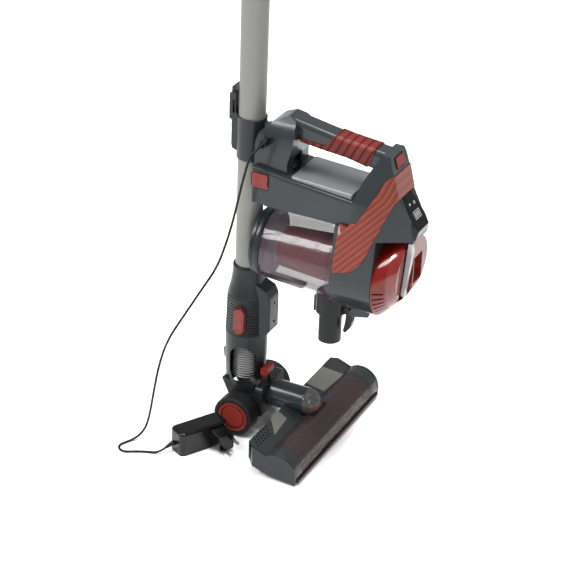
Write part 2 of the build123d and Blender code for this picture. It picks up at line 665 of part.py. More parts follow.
with BuildPart() as body:
    add(rear_housing(0))
    add(box_body(0))
    add(handle_bar(0))
    add(dome(0))
    with BuildSketch(across(-16)):
        Polygon((80, 350), (80, 330), (-34, 330), (-34, 350), align=None)
    extrude(amount=32)
    with BuildSketch(across(-12)):
        Polygon((-48, 230), (-48, 206), (-54, 202), (-72, 206), (-80, 230), align=None)
    extrude(amount=24)
    add(rear_housing(-SHELL), mode=Mode.SUBTRACT)
    add(box_body(-SHELL), mode=Mode.SUBTRACT)
    add(handle_bar(-SHELL), mode=Mode.SUBTRACT)
    add(dome(-SHELL), mode=Mode.SUBTRACT)
    with BuildSketch(across(-12)):
        Polygon((40, 360), (40, 400), (48, 440), (80, 430), (80, 360), align=None)
    extrude(amount=24, mode=Mode.SUBTRACT)
    with BuildSketch(across(-36)):
        Polygon((-70, 350), (-70, 372), (-40, 372), (-40, 350), align=None)
    extrude(amount=72, mode=Mode.SUBTRACT)
    with BuildSketch(along(-20)):
        with Locations((0, DRUM_Z)):
            Circle(30)
    extrude(amount=30, mode=Mode.SUBTRACT)
    with BuildSketch(along(-80)):
        with Locations((0, DRUM_Z - 2)):
            Circle(49)
    extrude(amount=20, mode=Mode.SUBTRACT)
    with BuildSketch(Plane.XY.offset(320)):
        with Locations((0, 87)):
            Rectangle(8, 8)
        with Locations((0, 82.5)):
            Rectangle(13, 5)
    extrude(amount=RAIL_HIGH + 0.4 - 320, mode=Mode.SUBTRACT)
    with BuildSketch(POWER_PLANE.offset(-6)):
        RectangleRounded(23 + 2 * GAP, 13 + 2 * GAP, 2)
    extrude(amount=10, mode=Mode.SUBTRACT)
    with BuildSketch(across(-BOX_HALF - 1)):
        with Locations((RELEASE_Y, RELEASE_Z)):
            RectangleRounded(22 + 2 * GAP, 20 + 2 * GAP, 3)
    extrude(amount=6, mode=Mode.SUBTRACT)
    with BuildSketch(across(-34)):
        with Locations((JACK_Y, JACK_Z)):
            Circle(6)
    extrude(amount=14, mode=Mode.SUBTRACT)

for side, sign in SIDES:
    with BuildPart() as body_shell:
        add(body.part)
        with Locations((sign * 50, 0, 330)):
            Box(100, 400, 400, mode=Mode.INTERSECT)
    save(body_shell, f"body_shell_{side}")
    print(f"body_shell_{side}", len(body_shell.part.solids()))

with BuildPart() as body_envelope:
    add(rear_housing(0))
    add(box_body(0))
    add(handle_bar(0))
    add(dome(0))

BAND_OUTLINE = [(-40, 349), (-36, 282), (-60, 288), (-72, 299), (-79, 312), (-97, 362), (-105, 384), (-112, 391.5),
                (-140, 391.5), (-140, 420), (-100, 419), (-92, 412), (-82, 390), (-63, 354)]
with BuildPart() as stripe_band:
    add(rear_housing(1.2))
    with BuildSketch(across(-80)):
        Polygon(*BAND_OUTLINE, align=None)
    extrude(amount=160, mode=Mode.INTERSECT)
    add(body_envelope.part, mode=Mode.SUBTRACT)
save(stripe_band, "stripe_band")

GRIP_OUTLINE = [(33, 436), (-2, 434), (-30, 470), (-78, 470), (-64, 424), (-50, 405), (33, 420)]
with BuildPart() as handle_grip:
    add(handle_bar(1.2))
    with BuildSketch(across(-30)):
        Polygon(*GRIP_OUTLINE, align=None)
    extrude(amount=60, mode=Mode.INTERSECT)
    add(body_envelope.part, mode=Mode.SUBTRACT)
save(handle_grip, "handle_grip")

with BuildPart() as battery_cover:
    with BuildSketch(across(-36)):
        Polygon((33.5, 384), (33.5, 391.5), (-51, 386.5), (-51, 374), align=None)
    extrude(amount=72)
    chamfer(battery_cover.edges().group_by(Axis.X)[0] + battery_cover.edges().group_by(Axis.X)[-1], 1.5)
    add(body_envelope.part, mode=Mode.SUBTRACT)
save(battery_cover, "battery_cover")

CELL_R, CELL_PITCH = 9.1, 19.2


def box_floor(y):
    """Height of the inside of the box's sloping floor at this Y."""
    (y0, z0), (y1, z1) = BOX_OUTLINE[-1], BOX_OUTLINE[0]
    slope = (z1 - z0) / (y1 - y0)
    return z0 + slope * (y - y0) + SHELL * math.hypot(1, slope)


with BuildPart() as battery_pack:
    with BuildSketch(across(-32)):
        Polygon((-20, box_floor(-20)), (42, box_floor(42)), (42, 358), (-20, 358), align=None)
    extrude(amount=64)
    for cell in range(3):
        with BuildSketch(across(-32)):
            with Locations((30 - CELL_PITCH * cell, 361)):
                Circle(CELL_R)
        extrude(amount=64)
save(battery_pack, "battery_pack")

with BuildPart() as control_board:
    with BuildSketch(across(-24)):
        Polygon((46, 352), (76, 352), (76, 353.6), (46, 353.6), align=None)
    extrude(amount=48)
    for x in (-20, 16):
        with BuildSketch(across(x)):
            Polygon((48, box_floor(48)), (52, box_floor(52)), (52, 352), (48, 352), align=None)
            Polygon((70, box_floor(70)), (74, box_floor(74)), (74, 352), (70, 352), align=None)
        extrude(amount=4)
    with BuildSketch(Plane.XY.offset(353.6)):
        with Locations((-12, 58), (8, 64)):
            Rectangle(12, 9)
    extrude(amount=3)
save(control_board, "control_board")

DISPLAY_TOP, DISPLAY_BEND, DISPLAY_LOW = 388.5, 354.0, 337.0
with BuildPart() as display_panel:
    add(rear_housing(1.2))
    with BuildSketch(along(-95)):
        Polygon((-12, DISPLAY_TOP), (12, DISPLAY_TOP), (19.5, DISPLAY_BEND), (19.5, DISPLAY_LOW), (-19.5, DISPLAY_LOW),
                (-19.5, DISPLAY_BEND), align=None)
    extrude(amount=60, mode=Mode.INTERSECT)
    add(body_envelope.part, mode=Mode.SUBTRACT)
save(display_panel, "display_panel")

with BuildPart() as power_button:
    with BuildSketch(POWER_PLANE.offset(-4)):
        RectangleRounded(23, 13, 2)
    extrude(amount=5.5)
save(power_button, "power_button")

with BuildPart() as cup_release:
    with BuildSketch(across(-BOX_HALF - 1.6)):
        with Locations((RELEASE_Y, RELEASE_Z)):
            RectangleRounded(22, 20, 3)
    extrude(amount=4.0)
save(cup_release, "cup_release")

PLUG_R, PLUG_TIP = 2.75, -22.0
with BuildPart() as dc_jack:
    with BuildSketch(across(-31)):
        with Locations((JACK_Y, JACK_Z)):
            Circle(6)
            Circle(PLUG_R + 0.25, mode=Mode.SUBTRACT)
    extrude(amount=11)
save(dc_jack, "dc_jack")

# ================================================================ hand unit: dust cup and filters
with BuildPart() as dust_cup:
    with BuildSketch(along(CUP_FRONT)):
        with Locations((0, CUP_Z)):
            Circle(CUP_FRONT_R)
    with BuildSketch(along(-28)):
        with Locations((0, CUP_Z)):
            Circle(CUP_REAR_R)
    loft()
    with BuildSketch(along(-27)):
        with Locations((0, CUP_Z)):
            Circle(DRUM_R)
    extrude(amount=7)
    with BuildSketch(along(CUP_FRONT)):
        with Locations((0, CUP_Z)):
            Circle(CUP_FRONT_R - 2)
    with BuildSketch(along(-34)):
        with Locations((0, CUP_Z)):
            Circle(CUP_REAR_R - 2)
    loft(mode=Mode.SUBTRACT)
    with BuildSketch(Plane.XY.offset(210)):
        with Locations((0, INLET_Y)):
            Circle(INLET_BORE - 1)
    extrude(amount=30, mode=Mode.SUBTRACT)
    with BuildSketch(across(-16.2)):
        Polygon((90, 360), (90, 319), (-40, 319), (-40, 360), align=None)
    extrude(amount=32.4, mode=Mode.SUBTRACT)
save(dust_cup, "dust_cup")

with BuildPart() as cup_lid:
    with BuildSketch(along(LID_FRONT)):
        with Locations((0, CUP_Z)):
            Circle(CUP_FRONT_R + 1.6)
    extrude(amount=LID_FRONT - CUP_FRONT)
    fillet(cup_lid.faces().sort_by(Axis.Y)[-1].edges(), 3)
    with BuildSketch(along(CUP_FRONT + 3)):
        with Locations((0, CUP_Z)):
            Circle(CUP_FRONT_R - 4)
    extrude(amount=6, mode=Mode.SUBTRACT)
    with BuildSketch(across(-8)):
        Polygon((84, 226), (84, 223), (25, 219.5), (25, 222), align=None)
    extrude(amount=16)
    add(dust_cup.part, mode=Mode.SUBTRACT)
save(cup_lid, "cup_lid")

with BuildPart() as mesh_filter:
    with BuildSketch(along(56)):
        with Locations((0, CUP_Z)):
            Circle(27)
    with BuildSketch(along(-34)):
        with Locations((0, CUP_Z)):
            Circle(33)
    loft()
    fillet(mesh_filter.faces().sort_by(Axis.Y)[-1].edges(), 6)
    with BuildSketch(along(50)):
        with Locations((0, CUP_Z)):
            Circle(24)
    with BuildSketch(along(-34)):
        with Locations((0, CUP_Z)):
            Circle(30.5)
    loft(mode=Mode.SUBTRACT)
save(mesh_filter, "mesh_filter")

with BuildPart() as pleated_filter:
    with BuildSketch(along(44)):
        with Locations((0, CUP_Z)):
            Circle(20)
            Circle(12, mode=Mode.SUBTRACT)
    extrude(amount=70)
    with BuildSketch(along(-26)):
        with Locations((0, CUP_Z)):
            Circle(29)
            Circle(12, mode=Mode.SUBTRACT)
    extrude(amount=8)
save(pleated_filter, "pleated_filter")

with BuildPart() as inlet_nozzle:
    with BuildSketch(Plane.XY.offset(INLET_LOW)):
        with Locations((0, INLET_Y)):
            Circle(INLET_R)
    extrude(amount=48)
    with BuildSketch(Plane.XY.offset(195)):
        with Locations((0, INLET_Y)):
            Circle(20)
    extrude(amount=35)
    with BuildSketch(across(-13)):
        Polygon((INLET_Y, 198), (INLET_Y, 228), (-34, 228), (-34, 198), align=None)
    extrude(amount=26)
    with BuildSketch(across(-5)):
        Polygon((2, 196), (8.5, 190), (8.5, 214), (2, 214), align=None)
    extrude(amount=10)
    with BuildSketch(along(40)):
        with Locations((0, CUP_Z)):
            Circle(50.2)
    extrude(amount=67, mode=Mode.SUBTRACT)
    with BuildSketch(along(-27)):
        with Locations((0, CUP_Z)):
            Circle(DRUM_R + 0.1)
    extrude(amount=10, mode=Mode.SUBTRACT)
    with BuildSketch(Plane.XY.offset(INLET_LOW)):
        with Locations((0, INLET_Y)):
            Circle(INLET_BORE)
    extrude(amount=80, mode=Mode.SUBTRACT)
    for x in (-7.4, 5.0):
        with BuildSketch(across(x)):
            Polygon((-33.9, 199), (-33.9, 209), (-41, 209), (-44, 204), (-44, 199), align=None)
            with Locations((-40.5, 203)):
                Circle(1.5, mode=Mode.SUBTRACT)
        extrude(amount=2.4)
save(inlet_nozzle, "inlet_nozzle")

LEVER_Y, LEVER_Z = -40.5, 203.0
with BuildPart() as inlet_lever:
    with BuildSketch(across(-4.6)):
        Polygon((-38, 200), (-37, 186), (-34.5, 172), (-38, 170), (-44, 178), (-47, 190), (-43.5, 200.4), align=None)
        with Locations((LEVER_Y, LEVER_Z)):
            Circle(3.2)
        with Locations((LEVER_Y, 200.5)):
            Rectangle(4, 4)
    extrude(amount=9.2)
    with BuildSketch(across(-7.2)):
        with Locations((LEVER_Y, LEVER_Z)):
            Circle(1.5 - RUN)
    extrude(amount=14.4)
save(inlet_lever, "inlet_lever")

# ================================================================ hand unit: motor, fan and exhaust
MOTOR_Z = 268.0
with BuildPart() as suction_motor:
    with BuildSketch(along(-54)):
        with Locations((0, MOTOR_Z)):
            Circle(38)
    extrude(amount=32)
    with BuildSketch(along(-62)):
        with Locations((0, DRUM_Z)):
            Circle(DRUM_R - SHELL)
    extrude(amount=3)
    with BuildSketch(along(-50)):
        with Locations((0, MOTOR_Z)):
            Circle(3 + RUN)
    extrude(amount=30, mode=Mode.SUBTRACT)
save(suction_motor, "suction_motor")

with BuildPart() as fan_wheel:
    with BuildSketch(along(-44)):
        with Locations((0, MOTOR_Z)):
            Circle(35)
    extrude(amount=1.6)
    with BuildSketch(along(-39)):
        with Locations((0, MOTOR_Z)):
            Circle(9)
            with PolarLocations(21, 9):
                Rectangle(26, 1.6, rotation=35)
    extrude(amount=5)
    with BuildSketch(along(-44)):
        with Locations((0, MOTOR_Z)):
            Circle(3)
    extrude(amount=34)
save(fan_wheel, "fan_wheel")

# Round sections of the red exhaust cap: Y, centre height, radius
CAP_FOOT, CAP_RIM, CAP_SHOULDER, CAP_FACE = ((-90.3, 268.0, 53.4), (-108.0, 281.5, 47.8), (-121.0, 291.0, 41.5),
                                             (-128.5, 298.0, 34.5))


def cap_loft(sections, shrink):
    """A loft through round sections, each smaller by shrink."""
    with BuildPart() as solid:
        for y, z, radius in sections:
            with BuildSketch(along(y)):
                with Locations((0, z)):
                    Circle(radius - shrink)
        loft()
    return solid.part


with BuildPart() as exhaust_cap:
    add(cap_loft((CAP_FOOT, CAP_RIM), 0))
    add(cap_loft((CAP_FOOT, CAP_RIM), 2.6), mode=Mode.SUBTRACT)
    for sign in (-1, 1):
        for slit in range(8):
            angle = 188 + 9.5 * slit
            slit_plane = Plane((0, -99, 273), x_dir=(sign * math.cos(math.radians(angle)), 0,
                                                     math.sin(math.radians(angle))), z_dir=(0, 1, 0))
            with BuildSketch(slit_plane.offset(-6.5)):
                with Locations((52, 0)):
                    Rectangle(24, 2.2)
            extrude(amount=13, mode=Mode.SUBTRACT)
save(exhaust_cap, "exhaust_cap")

LATCH_Y, LATCH_Z, LATCH_X, LATCH_PIN_R = -126.0, 323.0, -16.5, 1.2
with BuildPart() as cap_cover:
    add(cap_loft((CAP_RIM, CAP_SHOULDER, CAP_FACE), 0))
    with BuildSketch(across(-7)):
        Polygon((-140, 268), (-140, 306), (-124, 306), (-118, 294), (-116, 270), align=None)
    extrude(amount=25, mode=Mode.SUBTRACT)
    with BuildSketch(across(-25)):
        Polygon((-140, 245), (-140, 345), (-121.5, 345), (-113.5, 247), align=None)
    extrude(amount=16, mode=Mode.SUBTRACT)
    with BuildSketch(across(-60)):
        Polygon((-140, 245), (-140, 345), (-124, 345), (-121.5, 300), (-117, 247), align=None)
    extrude(amount=36, mode=Mode.SUBTRACT)
    with BuildSketch(along(-107.9)):
        with Locations((0, 281.5)):
            Circle(42)
    extrude(amount=2, mode=Mode.SUBTRACT)
    with BuildSketch(across(-24)):
        with Locations((LATCH_Y, LATCH_Z)):
            Circle(LATCH_PIN_R)
    extrude(amount=20, mode=Mode.SUBTRACT)
save(cap_cover, "cap_cover")

with BuildPart() as cap_lever:
    with BuildSketch(across(LATCH_X - 3.6)):
        Polygon((-129.4, 331), (-124.6, 331), (-123.4, 318), (-118.6, 256), (-122.6, 253), (-130.4, 318), align=None)
    extrude(amount=7.2)
    with BuildSketch(across(LATCH_X - 3)):
        with Locations((LATCH_Y, LATCH_Z)):
            Circle(LATCH_PIN_R - RUN)
    extrude(amount=11.5)
save(cap_lever, "cap_lever")

with BuildPart() as exhaust_filter:
    with BuildSketch(along(-90.5)):
        with Locations((0, 276)):
            Circle(34)
            Circle(14, mode=Mode.SUBTRACT)
    extrude(amount=19.4)
save(exhaust_filter, "exhaust_filter")

# ================================================================ charger
PLUG_END = -46.0
with BuildPart() as dc_plug:
    with BuildSketch(across(PLUG_TIP - 3)):
        with Locations((JACK_Y, JACK_Z)):
            Circle(PLUG_R)
    extrude(amount=-8)
    with BuildSketch(across(-31.4)):
        with Locations((JACK_Y, JACK_Z)):
            Circle(5)
    extrude(amount=PLUG_END + 31.4)
    with BuildSketch(across(PLUG_END)):
        with Locations((JACK_Y, JACK_Z)):
            Circle(3.8)
    with BuildSketch(across(PLUG_END - 8)):
        with Locations((JACK_Y, JACK_Z)):
            Circle(2.0)
    loft()
save(dc_plug, "dc_plug")

CORD_ROUTE = [
    (-54, 70, 430), (-61, 70, 430), (-66.5, 74, 424), (-68.5, 78, 412.5), (-68, 82.5, 395), (-67.5, 89, 367),
    (-68, 96, 331), (-71.5, 103.5, 297), (-77, 113.5, 260), (-87.5, 131, 226), (-98.5, 149, 190), (-109.5, 168, 152),
    (-115, 177.5, 114), (-118.5, 183, 74), (-120.5, 187.5, 40), (-123, 192, 18), (-129, 198, 6.5),
    (-137.5, 204, 2.2), (-146.5, 208.7, 1.7), (-154.6, 212.5, 1.7), (-160, 212.2, 1.7), (-164.7, 209.3, 1.7),
    (-167.4, 204.6, 1.7), (-167.5, 199.2, 1.7), (-164.8, 193.9, 1.7), (-160, 186.3, 1.7), (-155.6, 177.6, 1.7),
    (-152.3, 168.7, 1.9), (-151, 161.3, 3), (-147.3, 155.4, 5.4), (-140.8, 151.7, 8)]


def corner_radii(route):
    """For each inner point, 0.45 of the shorter run over the tangent of half the turn."""
    radii = []
    for before, here, after in zip(route, route[1:], route[2:]):
        run_in, run_out = Vector(*here) - Vector(*before), Vector(*after) - Vector(*here)
        half_turn = math.radians(run_in.get_angle(run_out)) / 2
        radii.append(0.45 * min(run_in.length, run_out.length) / math.tan(half_turn))
    return radii


CORD_RADII = corner_radii(CORD_ROUTE)
with BuildPart() as charger_cord:
    with BuildLine() as cord_path:
        FilletPolyline(*CORD_ROUTE, radius=CORD_RADII)
    with BuildSketch(Plane(CORD_ROUTE[0], z_dir=cord_path.line % 0)):
        Circle(CORD_R)
    sweep(path=cord_path.line)
save(charger_cord, "charger_cord")
print("cord radii", [round(radius, 1) for radius in CORD_RADII])
CORD_LENGTH = sum(edge.length for edge in cord_path.line.edges())
print("cord length", round(CORD_LENGTH, 1), "volume ratio",
      round(charger_cord.part.volume / (math.pi * CORD_R ** 2 * CORD_LENGTH), 4))

ADAPTER_PLANE = Plane(Location((*ADAPTER_AT, 0), (0, 0, ADAPTER_ANGLE)))
with BuildPart() as adapter_body:
    with BuildSketch(ADAPTER_PLANE):
        RectangleRounded(ADAPTER_LENGTH, ADAPTER_DEPTH, 7)
    extrude(amount=ADAPTER_HEIGHT)
    fillet(adapter_body.faces().sort_by(Axis.Z)[-1].edges(), 4)
save(adapter_body, "adapter_body")

with BuildPart() as adapter_relief:
    with BuildSketch(Plane(CORD_ROUTE[-1], z_dir=cord_path.line % 1)):
        Circle(1.9)
    with BuildSketch(Plane(CORD_ROUTE[-1], z_dir=cord_path.line % 1).offset(12)):
        Circle(3.4)
    loft()
    add(adapter_body.part, mode=Mode.SUBTRACT)
save(adapter_relief, "adapter_relief")

HEAD_SIZE = 26.0
PIN_TURN = math.radians(50)
with BuildPart() as plug_head:
    head_plane = Plane(ADAPTER_PLANE.from_local_coords((20, -ADAPTER_DEPTH / 2, 16)), x_dir=ADAPTER_PLANE.x_dir,
                       z_dir=-ADAPTER_PLANE.y_dir)
    with BuildSketch(head_plane):
        RectangleRounded(HEAD_SIZE, HEAD_SIZE, 5)
    extrude(amount=22, taper=5)
save(plug_head, "plug_head")

with BuildPart() as mains_pins:
    with BuildSketch(head_plane.offset(22)):
        with Locations((9.5 * math.cos(PIN_TURN), 9.5 * math.sin(PIN_TURN)),
                       (-9.5 * math.cos(PIN_TURN), -9.5 * math.sin(PIN_TURN))):
            Circle(2)
    extrude(amount=19)
    fillet(mains_pins.faces().filter_by(head_plane).group_by(Axis((0, 0, 0), head_plane.z_dir))[-1].edges(), 0.9)
save(mains_pins, "mains_pins")
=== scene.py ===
"""Looks of a cordless stick vacuum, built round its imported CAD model. Metres, +Z up, the floor at Z = 0."""
import math

import bmesh
import bpy
from mathutils import Matrix, Vector


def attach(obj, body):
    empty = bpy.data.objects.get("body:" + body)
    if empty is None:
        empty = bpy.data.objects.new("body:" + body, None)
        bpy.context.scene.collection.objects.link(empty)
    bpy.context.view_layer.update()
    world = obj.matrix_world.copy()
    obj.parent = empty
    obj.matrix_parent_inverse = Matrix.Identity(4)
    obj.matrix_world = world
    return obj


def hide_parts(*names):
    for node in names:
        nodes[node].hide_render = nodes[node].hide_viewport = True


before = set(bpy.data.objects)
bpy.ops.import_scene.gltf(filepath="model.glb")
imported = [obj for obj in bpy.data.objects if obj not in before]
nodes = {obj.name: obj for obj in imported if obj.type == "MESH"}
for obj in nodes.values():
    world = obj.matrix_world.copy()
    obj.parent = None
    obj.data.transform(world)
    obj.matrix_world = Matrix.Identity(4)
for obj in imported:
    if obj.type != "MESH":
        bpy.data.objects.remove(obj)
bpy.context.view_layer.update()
MM = 0.001

# ------------------------------------------------------------------ places taken from the CAD, in millimetres
TUBE_Y = 108.0                     # the wand's axis
BUTTON_Y, BUTTON_Z = 105.0, 158.0  # the tube release
RELEASE_Y, RELEASE_Z = 74, 378     # the cup release
JACK_Y, JACK_Z = 70, 430
POWER_AT, POWER_TILT = (-96.94, 431.0), math.radians(17.35)
DISPLAY_AT, DISPLAY_RISE = (-121.0, 369.0), (26, 42)  # the middle of the housing's slope under it, and the way up it
DISPLAY_SKIN = 1.2                 # how far the display stands above the housing
CUP_Z = 272.0
BAND_EDGE = [(-36, 282), (-60, 288), (-72, 299), (-79, 312), (-97, 362), (-105, 384), (-112, 391.5)]
ADAPTER_AT, ADAPTER_TURN, PIN_TURN = (-102, 123), math.radians(-29.4), math.radians(50)
FRONT, BACK, ACROSS, UP = (0, -1, 0), (0, 1, 0), (1, 0, 0), (0, 0, 1)

# ------------------------------------------------------------------ camera
CAMERA_AT = Vector((-2.11026, -0.96630, 1.50907))
AZIMUTH, ELEVATION, ROLL = math.radians(-64.2898), math.radians(28.9975), math.radians(2.1575)
LENS = 127.94


def make_camera():
    """The fixed camera, from its place, its two angles and its roll."""
    back = Vector((math.sin(AZIMUTH) * math.cos(ELEVATION), -math.cos(AZIMUTH) * math.cos(ELEVATION),
                   math.sin(ELEVATION)))
    level = Vector((math.cos(AZIMUTH), math.sin(AZIMUTH), 0))
    upright = back.cross(level)
    right = math.cos(ROLL) * level + math.sin(ROLL) * upright
    up = -math.sin(ROLL) * level + math.cos(ROLL) * upright
    data = bpy.data.cameras.new("camera")
    data.lens, data.sensor_width = LENS, 36.0
    data.clip_end = 50
    camera = bpy.data.objects.new("camera", data)
    camera.matrix_world = Matrix((right, up, back)).transposed().to_4x4()
    camera.location = CAMERA_AT
    bpy.context.scene.collection.objects.link(camera)
    bpy.context.scene.camera = camera


make_camera()

# ------------------------------------------------------------------ charger cord, its route in metres
CORD_RADIUS = 1.6 * MM
CORD_ROUTE = [Vector(p) * MM for p in (
    (-54, 70, 430), (-61, 70, 430), (-66.5, 74, 424), (-68.5, 78, 412.5), (-68, 82.5, 395), (-67.5, 89, 367),
    (-68, 96, 331), (-71.5, 103.5, 297), (-77, 113.5, 260), (-87.5, 131, 226), (-98.5, 149, 190), (-109.5, 168, 152),
    (-115, 177.5, 114), (-118.5, 183, 74), (-120.5, 187.5, 40), (-123, 192, 18), (-129, 198, 6.5),
    (-137.5, 204, 2.2), (-146.5, 208.7, 1.7), (-154.6, 212.5, 1.7), (-160, 212.2, 1.7), (-164.7, 209.3, 1.7),
    (-167.4, 204.6, 1.7), (-167.5, 199.2, 1.7), (-164.8, 193.9, 1.7), (-160, 186.3, 1.7), (-155.6, 177.6, 1.7),
    (-152.3, 168.7, 1.9), (-151, 161.3, 3), (-147.3, 155.4, 5.4), (-140.8, 151.7, 8))]


# ------------------------------------------------------------------ node material helpers
def linear(hex_colour):
    """An sRGB hex colour as linear RGB."""
    channels = [int(hex_colour[i:i + 2], 16) / 255 for i in (0, 2, 4)]
    return tuple(c / 12.92 if c <= 0.04045 else ((c + 0.055) / 1.055) ** 2.4 for c in channels)


class Nodes:
    """A material's node tree, with short calls for the few kinds of node used here."""

    def __init__(self, name, roughness, **sockets):
        self.material = bpy.data.materials.new(name)
        self.material.use_nodes = True
        self.tree = self.material.node_tree
        self.shader = self.tree.nodes["Principled BSDF"]
        self.shader.inputs["Roughness"].default_value = roughness
        self.shader.inputs["Specular IOR Level"].default_value = 0.26
        for key, value in sockets.items():
            self.shader.inputs[key.replace("_", " ")].default_value = value
        self.position = self.tree.nodes.new("ShaderNodeTexCoord").outputs["Object"]
        self.height = None

    def link(self, output, socket):
        self.tree.links.new(output, socket)

    def feed(self, socket, value):
        if hasattr(value, "is_output"):
            self.link(value, socket)
        else:
            socket.default_value = value

    def math(self, operation, a, b=0.0, c=None):
        node = self.tree.nodes.new("ShaderNodeMath")
        node.operation = operation
        self.feed(node.inputs[0], a)
        self.feed(node.inputs[1], b)
        if c is not None:
            self.feed(node.inputs[2], c)
        return node.outputs[0]

    def scaled(self, scale):
        """The position, multiplied along each direction."""
        node = self.tree.nodes.new("ShaderNodeVectorMath")
        node.operation = "MULTIPLY"
        self.link(self.position, node.inputs[0])
        node.inputs[1].default_value = scale
        return node.outputs[0]

    def along(self, direction, offset=0.0):
        """The position's dot product with a direction, plus an offset, in metres."""
        node = self.tree.nodes.new("ShaderNodeVectorMath")
        node.operation = "DOT_PRODUCT"
        self.link(self.position, node.inputs[0])
        node.inputs[1].default_value = direction
        return self.math("ADD", node.outputs["Value"], offset)

    def noise(self, scale, detail=3.0, stretch=(1, 1, 1)):
        node = self.tree.nodes.new("ShaderNodeTexNoise")
        self.link(self.scaled(stretch), node.inputs["Vector"])
        node.inputs["Scale"].default_value = scale
        node.inputs["Detail"].default_value = detail
        return node.outputs["Fac"]

    def ramp(self, value, low, high, out_low=0.0, out_high=1.0):
        node = self.tree.nodes.new("ShaderNodeMapRange")
        self.link(value, node.inputs["Value"])
        for key, number in (("From Min", low), ("From Max", high), ("To Min", out_low), ("To Max", out_high)):
            node.inputs[key].default_value = number
        return node.outputs["Result"]

    def mix(self, fac, a, b):
        node = self.tree.nodes.new("ShaderNodeMix")
        node.data_type = "RGBA"
        self.feed(node.inputs["Factor"], fac)
        self.feed(node.inputs["A"], a if hasattr(a, "is_output") else (*a, 1))
        self.feed(node.inputs["B"], b if hasattr(b, "is_output") else (*b, 1))
        return node.outputs["Result"]

    def colour(self, value):
        self.feed(self.shader.inputs["Base Color"], value if hasattr(value, "is_output") else (*value, 1))

    def roughness(self, value):
        self.feed(self.shader.inputs["Roughness"], value)

    def bump(self, height, distance, strength=1.0):
        """Adds a bump, distance metres deep, on top of those before it."""
        node = self.tree.nodes.new("ShaderNodeBump")
        node.inputs["Distance"].default_value = distance
        node.inputs["Strength"].default_value = strength
        self.link(height, node.inputs["Height"])
        if self.height is not None:
            self.link(self.height, node.inputs["Normal"])
        self.height = node.outputs["Normal"]
        self.link(self.height, self.shader.inputs["Normal"])


LIGHT_GAIN = 0.31                  # darkens every finish, to suit the bright studio light
FINE_GRAIN = 0.00002               # depth of the moulded grain, in metres
VARIATION = 0.05                   # how far a plastic's colour strays from its finish


def finish(hex_colour):
    """A finish's linear colour under this bright studio light."""
    return tuple(c * LIGHT_GAIN for c in linear(hex_colour))


def plastic(name, hex_colour, roughness, grain=FINE_GRAIN, coat=0.0, **sockets):
    """Moulded plastic: a fine grain, slight colour variation and a little uneven gloss."""
    m = Nodes(name, roughness, **sockets)
    base = finish(hex_colour)
    patch = m.noise(22, 4)
    m.colour(m.mix(m.ramp(patch, 0.3, 0.7), [c * (1 - VARIATION) for c in base],
                   [min(1, c * (1 + VARIATION)) for c in base]))
    m.roughness(m.ramp(m.noise(90, 3), 0.3, 0.7, roughness * 0.85, min(1, roughness * 1.2)))
    if grain:
        m.bump(m.noise(2600, 2), grain, 0.3)
    if coat:
        m.shader.inputs["Coat Weight"].default_value = coat
        m.shader.inputs["Coat Roughness"].default_value = 0.08
    return m


def clear(name, hex_colour, alpha, roughness):
    """Clear moulded plastic, thin enough that it bends no light."""
    m = Nodes(name, roughness)
    base = finish(hex_colour)
    m.colour(m.mix(m.ramp(m.noise(35, 3), 0.3, 0.7), [c * 0.94 for c in base], [min(1, c * 1.05) for c in base]))
    m.shader.inputs["Alpha"].default_value = alpha
    m.shader.inputs["Specular IOR Level"].default_value = 0.8
    m.roughness(m.ramp(m.noise(60, 2), 0.3, 0.7, roughness * 0.7, roughness * 1.4))
    m.bump(m.noise(30, 1), 0.0002, 0.25)
    return m


def stripes(m, value, pitch, duty):
    """A smooth ridge height that repeats every pitch along a value, 1 on the ridges and 0 in the grooves."""
    turns = m.math("MULTIPLY", value, 1 / pitch)
    saw = m.math("FRACT", turns)
    tooth = m.math("ABSOLUTE", m.math("SUBTRACT", saw, 0.5))
    return m.ramp(tooth, 0.5 - duty, 0.5 - duty * 0.4, 1.0, 0.0)


# ------------------------------------------------------------------ materials
RIDGE_PITCH, BEND_ROUNDING = 0.0066, 0.004


def stripe_material():
    """Copper-red band whose ridges run beside its lower edge, each terrace with painted shade running to painted
    light and a thin painted highlight line on its ridge, with a small pale facet high on its wand end.
    """
    m = Nodes("coral_band", 0.3, Coat_Weight=0.1, Coat_Roughness=0.12)
    nearest = None
    for (y0, z0), (y1, z1) in zip(BAND_EDGE, BAND_EDGE[1:]):
        length = math.dist((y0, z0), (y1, z1))
        normal = (0, (z1 - z0) / length, (y0 - y1) / length)
        away = m.along(normal, -(normal[1] * y0 + normal[2] * z0) * MM)
        nearest = away if nearest is None else m.math("SMOOTH_MIN", nearest, away, BEND_ROUNDING)
    saw = m.math("FRACT", m.math("MULTIPLY", nearest, 1 / RIDGE_PITCH))
    # Painted highlight: a thin pale line along each ridge.
    lit = m.ramp(m.math("ABSOLUTE", m.math("SUBTRACT", saw, 0.5)), 0.40, 0.47)
    base = m.mix(m.ramp(m.noise(30, 3), 0.3, 0.7), finish("bf3a24"), finish("c8452d"))
    # Painted shade and light: each terrace is coloured from dark at one side to light at the other.
    shade = m.mix(m.ramp(saw, 0.1, 0.9), finish("7c1c0e"), finish("d85c3c"))
    painted_shade_base = m.mix(0.75, base, shade)
    with_painted_highlight = m.mix(m.math("MULTIPLY", lit, 0.45), painted_shade_base, finish("f09a7c"))
    past_edge = m.ramp(m.along((0, 1, -0.25), 0.1275), -0.0006, 0.0006)
    end = m.math("MULTIPLY", past_edge, m.ramp(m.along((0, 0, 1)), 0.334, 0.336))
    m.colour(m.mix(end, with_painted_highlight, finish("ffd8c8")))
    m.bump(m.ramp(saw, 0.0, 0.85), 0.0008, 0.8)
    m.bump(m.noise(2600, 2), FINE_GRAIN, 0.3)
    return m


